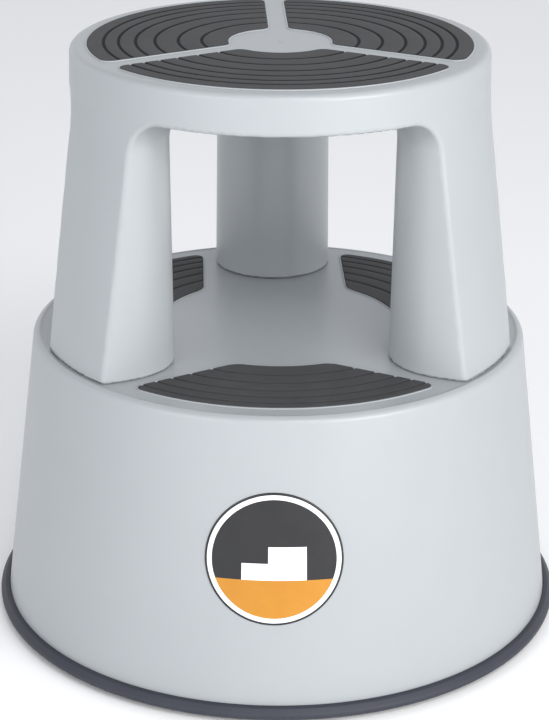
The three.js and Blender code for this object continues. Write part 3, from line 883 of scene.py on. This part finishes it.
def build_castor(side, angle):
    tag = f"castor_{side}"
    axle_turn = move(TRAIL, 0, WHEEL_R) @ Matrix.Rotation(math.pi / 2, 4, "X")
    housing = turned(f"{tag}_housing_cup", [
        (4.4, 72.3, 0), (10.5, 72.3, 1.2), (12.2, 74, 1.2), (13.2, 110, 0), (13.2, 113.9, 0),
        (9, 113.9, 0.4), (9, 100, 0.3), (4.4, 100, 0.3)], angle, BLACK, closed=True)
    flange = Shape()
    outline = []
    for cx, radius, a0, a1 in ((0, 14.5, -50, 50), (19, 6.5, 10, 170), (0, 14.5, 130, 230),
                               (-19, 6.5, 190, 350)):
        for k in range(13):
            a = math.radians(a0 + (a1 - a0) * k / 12)
            outline.append((radius * math.cos(a), cx + radius * math.sin(a)))
    flange.add(*holed_plate(outline, 9.2, 110, 114, 0.7), castor_place(angle))
    plate = mesh_object(f"{tag}_housing_flange", flange.verts, flange.faces, [BLACK], sharp=35)
    piece(housing, "stool", [f"{tag}_housing"])
    piece(plate, "stool", [f"{tag}_housing"])
    for number, y in ((1, -19), (2, 19)):
        screw = turned(f"{tag}_screw_{number}_body", [
            (0, 108.1, 0), (1.7, 108.1, 0.1), (2.0, 107.5, 0.2), (3.0, 107.55, 0.8), (4.0, 109.7, 0.2),
            (2.0, 109.7, 0), (2.0, 125.3, 0.3), (0, 126.3, 0)], angle, STEEL, 32,
            place=move(0, y, 0))
        piece(screw, "stool", [f"{tag}_screw_{number}"])
    stem = turned(f"{tag}_stem_pin", [
        (0, 28, 0), (4, 28, 0.5), (4, 44.3, 0), (8.5, 44.3, 0.5), (8.5, 47.9, 0.5), (4, 47.9, 0.4),
        (4, 100, 0), (3.2, 100, 0), (3.2, 101.6, 0), (4, 101.6, 0), (4, 106, 0.9), (0, 106, 0)],
        angle, STEEL)
    piece(stem, f"{side}_stem", [f"{tag}_stem"])
    clip = Shape()
    start, sweep = math.radians(35), 2 * math.pi - 2 * math.radians(35)
    outer = [(7.2 * math.cos(start + sweep * k / 40), 7.2 * math.sin(start + sweep * k / 40))
             for k in range(41)]
    inner = [(3.55 * math.cos(start + sweep * k / 40), 3.55 * math.sin(start + sweep * k / 40))
             for k in range(40, -1, -1)]
    clip.add(*prism(outer + inner, 100.3, 101.3, 0.15), castor_place(angle))
    ring = mesh_object(f"{tag}_clip_ring", clip.verts, clip.faces, [STEEL], sharp=35)
    piece(ring, f"{side}_stem", [f"{tag}_clip"])
    spring = build_spring(f"{tag}_spring_coil", angle)
    piece(spring, "stool", [f"{tag}_spring"])
    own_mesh(spring)
    fork = build_fork(f"{tag}_fork_body", angle)
    piece(fork, f"{side}_fork", [f"{tag}_fork"])
    axle = turned(f"{tag}_axle_pin", [
        (0, -18.3, 0), (3.2, -18.3, 0.4), (4.2, -17.3, 0.2), (2.5, -17.3, 0), (2.5, 17.3, 0),
        (4.2, 17.3, 0.2), (3.2, 18.3, 0.4), (0, 18.3, 0)], angle, STEEL, 32, place=axle_turn)
    piece(axle, f"{side}_fork", [f"{tag}_axle"])
    for number, sign in ((1, -1), (2, 1)):
        profile = [
            (2.9, 7.8, 0.3), (18.5, 7.8, 1.2), (20, 10, 1.6), (20, 14.8, 1.6), (18.5, 17, 0.8),
            (15.2, 17, 0.6), (14.2, 15.4, 0.6), (6.2, 15.4, 0.6), (5.4, 17, 0.4), (2.9, 17, 0.3)]
        if sign < 0:
            profile = [(r, -y, k) for r, y, k in reversed(profile)]
        wheel = turned(f"{tag}_wheel_{number}_roller", profile, angle, WHEEL, 72, closed=True,
                       place=axle_turn)
        piece(wheel, f"{side}_wheel_{number}", [f"{tag}_wheel_{number}"])


def build_spring(name, angle):
    turns, wire, mean = 4.5, 0.9, 6.8
    low, high = SPRING_LOW + wire, SPRING_TOP - wire
    around, steps = 12, int(turns * 32)
    verts = []
    for i in range(steps + 1):
        t = i / steps
        a = 2 * math.pi * turns * t
        lift = low + (high - low) * t
        for k in range(around):
            b = 2 * math.pi * k / around
            r = mean + wire * math.cos(b)
            verts.append((r * math.cos(a), r * math.sin(a), lift + wire * math.sin(b)))
    faces = []
    for i in range(steps):
        for k in range(around):
            m = (k + 1) % around
            faces.append((i * around + k, (i + 1) * around + k, (i + 1) * around + m, i * around + m))
    faces.append(tuple(range(around)))
    faces.append(tuple(reversed(range(steps * around, (steps + 1) * around))))
    shape = Shape().add(verts, faces, castor_place(angle))
    return mesh_object(name, shape.verts, shape.faces, [STEEL], sharp=60)


def build_fork(name, angle):
    outline = fillet([
        (-7, 41, 1.5), (-7, 28, 5), (-2, 24, 3), (TRAIL - 6, WHEEL_R - 6, 3), (TRAIL, WHEEL_R - 8, 6),
        (TRAIL + 6, WHEEL_R - 6, 4), (TRAIL + 8, WHEEL_R, 4), (TRAIL + 6.5, WHEEL_R + 6, 5),
        (TRAIL - 1, WHEEL_R + 13, 6), (5, 41, 2)], closed=True, steps=5)
    verts, faces = prism([(a, -b) for a, b in outline][::-1], -7, 7, 0.8)
    shape = Shape()
    place = castor_place(angle)
    shape.add([(x, z, -y) for x, y, z in verts], [tuple(reversed(f)) for f in faces], place)
    boss = revolve(fillet([(4.4, 28, 0), (7.4, 28, 0.6), (7.4, 44, 0.6), (4.4, 44, 0.3)],
                          closed=True, steps=4), circle_angles(48), closed=True)
    shape.add(*boss, place)
    return mesh_object(name, shape.verts, shape.faces, [BLACK], sharp=35)


# ---------------------------------------------------------------- assembly
shell, trim = build_upper_shell()
for one in (shell, trim):
    piece(one, "stool", ["upper_shell"])
piece(build_base_shell(), "stool", ["base_shell"])
piece(build_ring(), "stool", ["base_ring"])
piece(build_label(), "stool", ["front_label"])
for side, angle in PAD_ANGLES.items():
    for kind, pad in (("top_pad", TOP_PAD), ("step_pad", STEP_PAD)):
        verts, faces, slots = pad_mesh(pad)
        shape = Shape().add(verts, faces, spin(angle))
        # second slot: darker rubber painted into grooves and sides as shade, less dark on the step pads
        dark = PAD_TOP_GROOVE_SHADE if pad is TOP_PAD else PAD_STEP_GROOVE_SHADE
        made = mesh_object(f"{kind}_{side}_tread", shape.verts, shape.faces, [PAD, dark],
                           sharp=50, face_slots=slots)
        piece(made, "stool", [f"{kind}_{side}"])
for side, angle in LEG_ANGLES.items():
    build_castor(side, angle)

# ---------------------------------------------------------------- floor, light, camera
floor_mat = grained("studio_floor", (0.97, 0.97, 0.97), (0.98, 0.98, 0.98), 0.6, 40, 0.0, 0.0001, 0.9,
                    specular=0.1)
floor = mesh_object("studio_floor", [(-9000, -9000, 0), (9000, -9000, 0), (9000, 9000, 0),
                                     (-9000, 9000, 0)], [(0, 1, 2, 3)], [floor_mat])

SKY_LOW = (0.97, 0.99, 1.03)     # the studio's walls are lit more than its ceiling
SKY_HIGH = (0.28, 0.29, 0.31)


def height_of_sky(tree):
    """0 at the horizon and below, 1 straight up."""
    where = tree.nodes.new("ShaderNodeTexCoord")
    split = tree.nodes.new("ShaderNodeSeparateXYZ")
    tree.links.new(where.outputs["Generated"], split.inputs["Vector"])
    return split.outputs["Z"]


world = bpy.data.worlds.new("studio")
bpy.context.scene.world = world
world.use_nodes = True
background = world.node_tree.nodes["Background"]
sky = ramp(world.node_tree, height_of_sky(world.node_tree),
           ((0.0, SKY_LOW), (0.3, SKY_LOW), (1.0, SKY_HIGH)))
world.node_tree.links.new(sky, background.inputs["Color"])
background.inputs["Strength"].default_value = 1.1
bpy.context.scene.view_settings.view_transform = "Standard"


LIGHT_DISTANCE = 2.4


def softbox(name, azimuth, elevation, size, power, colour=(1, 1, 1)):
    """Area light aimed at the stool. Azimuth runs from the front to the right."""
    data = bpy.data.lights.new(name, "AREA")
    data.shape = "RECTANGLE"
    data.size, data.size_y = size
    data.energy = power
    data.color = colour
    lamp = bpy.data.objects.new(name, data)
    bpy.context.scene.collection.objects.link(lamp)
    target = Vector((0, 0, 0.2))
    turn, rise = math.radians(azimuth), math.radians(elevation)
    away = Vector((math.sin(turn) * math.cos(rise), -math.cos(turn) * math.cos(rise), math.sin(rise)))
    lamp.location = target + LIGHT_DISTANCE * away
    lamp.rotation_euler = (-away).to_track_quat("-Z", "Y").to_euler()


softbox("key_softbox", 38, 16, (1.4, 0.9), 38, (1.0, 0.99, 0.97))
softbox("fill_softbox", -38, 16, (1.4, 0.9), 13)
softbox("rim_softbox", 12, 42, (0.9, 0.5), 15)

PITCH, YAW, ROLL = 0.38249, -0.00183, 0.00642
STOOL_TURN = math.radians(2.2)
DISTANCE, HEIGHT, FOCAL_PX = 1.45868, 0.77351, 2100.4
SENSOR = 36.0
IMAGE_LONG_SIDE = 720.0

camera_data = bpy.data.cameras.new("camera")
camera = bpy.data.objects.new("camera", camera_data)
bpy.context.scene.collection.objects.link(camera)
bpy.context.scene.camera = camera
camera_data.sensor_width = SENSOR
camera_data.sensor_fit = "AUTO"
camera_data.lens = FOCAL_PX * SENSOR / IMAGE_LONG_SIDE
camera_data.clip_start = 0.05
camera_data.clip_end = 100.0
forward = Vector((math.sin(YAW) * math.cos(PITCH), math.cos(YAW) * math.cos(PITCH), -math.sin(PITCH)))
right = Vector((math.cos(YAW), -math.sin(YAW), 0))
up = right.cross(forward)
right, up = (right * math.cos(ROLL) + up * math.sin(ROLL),
             -right * math.sin(ROLL) + up * math.cos(ROLL))
look = Matrix((right, up, -forward)).transposed().to_4x4()
back_turn = Matrix.Rotation(-STOOL_TURN, 4, "Z")
camera.matrix_world = back_turn @ Matrix.Translation((0, -DISTANCE, HEIGHT)) @ look
